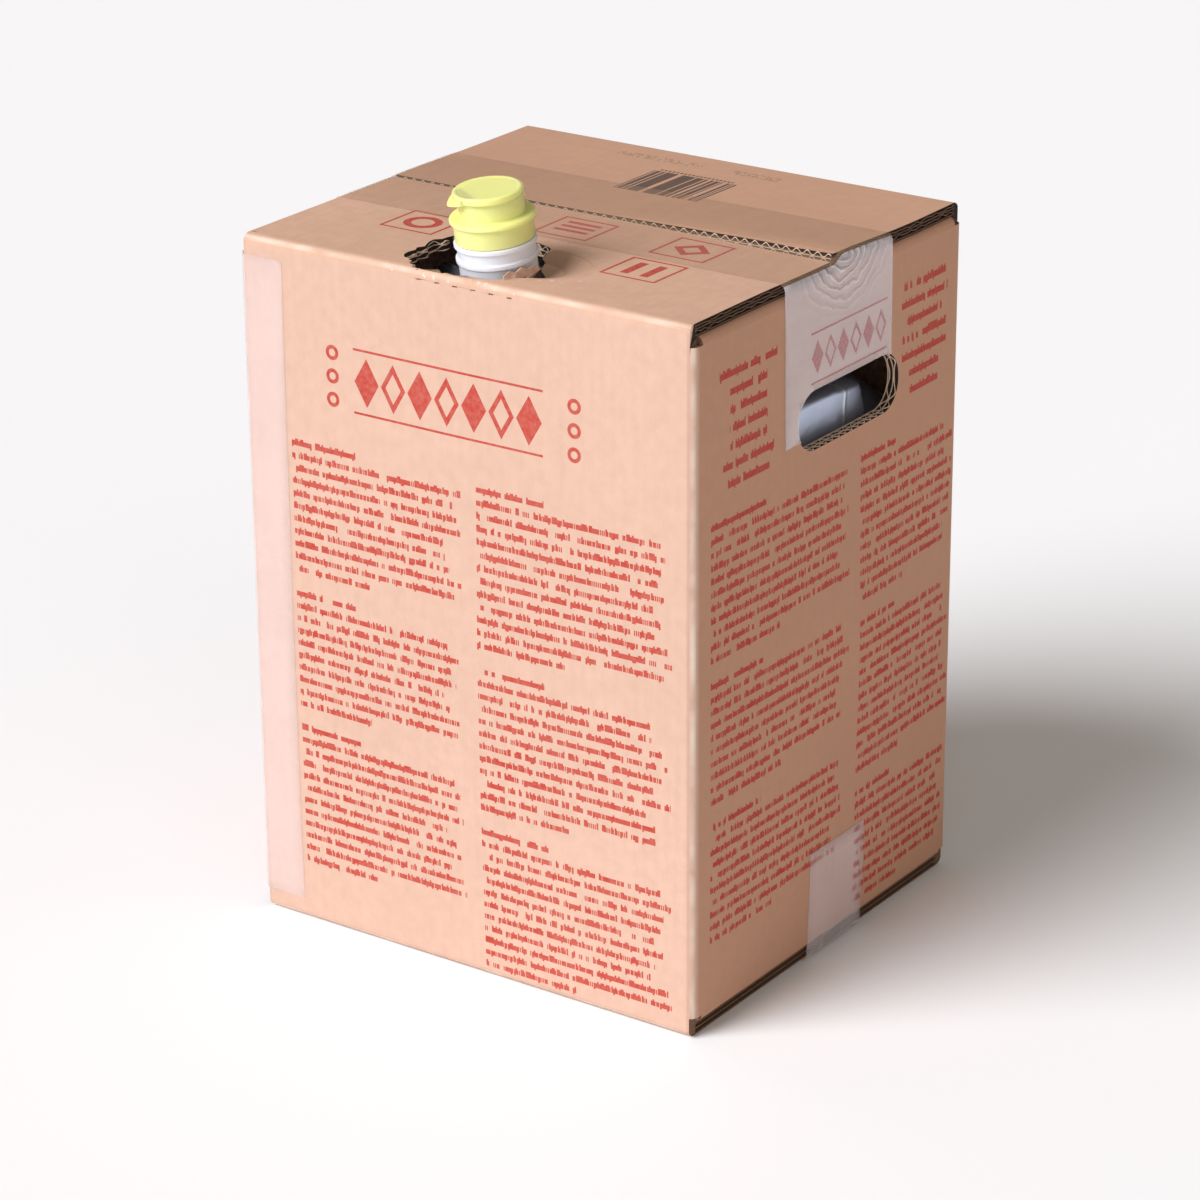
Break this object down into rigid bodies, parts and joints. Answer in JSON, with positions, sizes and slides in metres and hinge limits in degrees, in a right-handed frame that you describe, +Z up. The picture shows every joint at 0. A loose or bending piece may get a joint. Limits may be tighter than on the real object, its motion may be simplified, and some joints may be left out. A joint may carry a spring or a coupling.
{
  "type": "bag in box carton",
  "caption": "Taped double-wall corrugated carton holding a filled film bag, with hand holes and a leaning pouring spout with a flip lid standing out of a torn opening in the top.",
  "frame": {"origin": "centre of the bounding box on the plane that the carton stands on", "axes": "+Z up; X along the top seam; the front panel, beside which the spout stands, faces -Y; +X is the side panel on the right seen from the front"},
  "size_m": [0.2912, 0.2626, 0.4398],
  "materials": {
    "board": "plain kraft double-wall corrugated board, slightly pink",
    "tape": "clear to milky packing tape, glossy",
    "film": "creased silver metallised film",
    "white_plastic": "moulded, semi gloss",
    "yellow_plastic": "moulded, semi gloss"
  },
  "bodies": {
    "pack": {"carton": "board", "top_tape": "tape", "bottom_tape": "tape", "joint_tape": "tape", "bag": "film", "spout": "white_plastic", "closure": "yellow_plastic"},
    "lid": {"flip_lid": "yellow_plastic"}
  },
  "joints": [
    {"name": "lid_hinge", "type": "hinge", "parent": "pack", "child": "lid", "pos_m": [0.01123, -0.08931, 0.43638], "axis": [-0.8564, 0.5159, 0.0208], "range_deg": [0, 120]}
  ]
}
